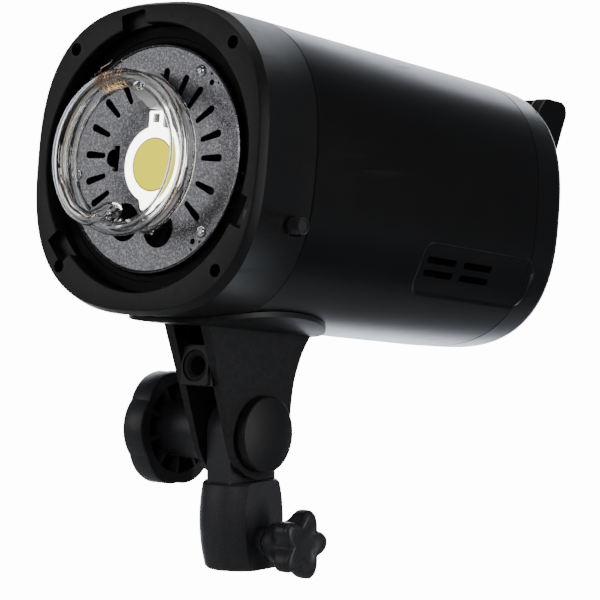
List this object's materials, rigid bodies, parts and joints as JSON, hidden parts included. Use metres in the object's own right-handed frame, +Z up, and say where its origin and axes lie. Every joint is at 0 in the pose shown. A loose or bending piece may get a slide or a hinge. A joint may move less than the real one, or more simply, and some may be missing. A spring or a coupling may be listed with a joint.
{
  "type": "monolight strobe",
  "caption": "Studio flash head with a ring tube and LED modelling lamp, a bayonet throat, a rear control panel and grip, on a tilting bracket over a stand socket.",
  "frame": {"origin": "middle of the stand socket's mouth", "axes": "-Y is the way the head faces when level, +X is the side of the stand clamp's knob, +Z is up the stand's line"},
  "size_m": [0.136, 0.2942, 0.2565],
  "materials": {
    "casing": "satin",
    "grey_plastic": "fine texture",
    "reflector": "pebbled",
    "steel": "plain",
    "brass": "plain",
    "glass": "clear",
    "ceramic": "glazed",
    "phosphor": "smooth",
    "copper": "wire",
    "board": "lacquered",
    "sleeve": "shrink sleeve",
    "rubber": "plain",
    "screen": "polished",
    "sensor": "clear red",
    "signal": "satin"
  },
  "bodies": {
    "stand": {"stand_adaptor": "grey_plastic"},
    "head": {"bayonet_ring": "casing", "body_shell": "casing", "capacitor_left": "sleeve", "capacitor_right": "sleeve", "chassis": "steel", "control_board": "board", "control_panel": "grey_plastic", "display_window": "screen", "electrode_left": "steel", "electrode_right": "steel", "face_screw_1": "steel", "face_screw_2": "steel", "face_screw_3": "steel", "face_screw_4": "steel", "fan_frame": "casing", "flash_tube": "glass", "friction_washer_left": "steel", "friction_washer_right": "steel", "front_housing": "casing", "led_emitter": "phosphor", "led_heat_sink": "steel", "led_holder": "ceramic", "mains_inlet": "casing", "plate_screw_1": "steel", "plate_screw_2": "steel", "plate_screw_3": "steel", "power_board": "board", "rear_cover": "casing", "rear_handle": "casing", "reflector_plate": "reflector", "release_spring": "steel", "slave_sensor": "sensor", "sync_socket": "steel", "tilt_bolt": "steel", "tilt_bracket": "grey_plastic", "tilt_cap": "grey_plastic", "transformer": "copper", "trigger_coil": "rubber", "trigger_wire": "copper", "tube_socket_left": "casing", "tube_socket_right": "casing", "tube_support": "ceramic", "umbrella_bush": "rubber"},
    "tilt_knob_body": {"tilt_knob": "grey_plastic"},
    "clamp_pad": {"pressure_pad": "brass"},
    "clamp_knob": {"clamp_screw": "steel", "star_knob": "grey_plastic"},
    "release_catch": {"release_pin": "casing"},
    "dial": {"control_dial": "casing"},
    "up_button": {"button_up": "rubber"},
    "down_button": {"button_down": "rubber"},
    "test_button": {"button_test": "signal"},
    "mode_button": {"button_mode": "rubber"},
    "rocker": {"power_rocker": "signal"},
    "fuse_holder_cap": {"fuse_cap": "casing"},
    "rotor": {"fan_rotor": "casing"}
  },
  "joints": [
    {"name": "head_tilt", "type": "hinge", "parent": "stand", "child": "head", "pos_m": [0, 0, 0.0615], "axis": [1, 0, 0], "range_deg": [-73, 76]},
    {"name": "tilt_knob_turn", "type": "hinge", "parent": "head", "child": "tilt_knob_body", "pos_m": [-0.0369, 0, 0.0615], "axis": [-1, 0, 0], "range_deg": [0, 720]},
    {"name": "clamp_turn", "type": "hinge", "parent": "clamp_pad", "child": "clamp_knob", "pos_m": [0.025, 0, 0.013], "axis": [1, 0, 0], "range_deg": [0, 1080]},
    {"name": "clamp_slide", "type": "slide", "parent": "stand", "child": "clamp_pad", "axis": [1, 0, 0], "range_m": [0, 0.00376]},
    {"name": "release_slide", "type": "slide", "parent": "head", "child": "release_catch", "axis": [0, 0.9925, -0.1219], "range_m": [0, 0.006], "stiffness_N_per_m": 600, "springref_m": -0.004, "deforming": ["release_spring"]},
    {"name": "dial_turn", "type": "hinge", "parent": "head", "child": "dial", "pos_m": [0, 0.16144, 0.14958], "axis": [0, 0.9925, -0.1219], "continuous": true},
    {"name": "up_press", "type": "slide", "parent": "head", "child": "up_button", "axis": [0, -0.9925, 0.1219], "range_m": [0, 0.001], "stiffness_N_per_m": 900, "springref_m": -0.001},
    {"name": "down_press", "type": "slide", "parent": "head", "child": "down_button", "axis": [0, -0.9925, 0.1219], "range_m": [0, 0.001], "stiffness_N_per_m": 900, "springref_m": -0.001},
    {"name": "test_press", "type": "slide", "parent": "head", "child": "test_button", "axis": [0, -0.9925, 0.1219], "range_m": [0, 0.001], "stiffness_N_per_m": 900, "springref_m": -0.001},
    {"name": "mode_press", "type": "slide", "parent": "head", "child": "mode_button", "axis": [0, -0.9925, 0.1219], "range_m": [0, 0.001], "stiffness_N_per_m": 900, "springref_m": -0.001},
    {"name": "rocker_tip", "type": "hinge", "parent": "head", "child": "rocker", "pos_m": [-0.024, 0.15796, 0.1213], "axis": [1, 0, 0], "range_deg": [0, 14]},
    {"name": "fuse_cap_turn", "type": "hinge", "parent": "head", "child": "fuse_holder_cap", "pos_m": [0.031, 0.15851, 0.12576], "axis": [0, -0.9925, 0.1219], "range_deg": [0, 90]},
    {"name": "fan_spin", "type": "hinge", "parent": "head", "child": "rotor", "pos_m": [0, 0.13097, 0.16239], "axis": [0, 0.9925, -0.1219], "continuous": true}
  ],
  "couplings": [
    {"joint": "clamp_slide", "follows": "clamp_turn", "m_per_rad": 0.00019894}
  ]
}
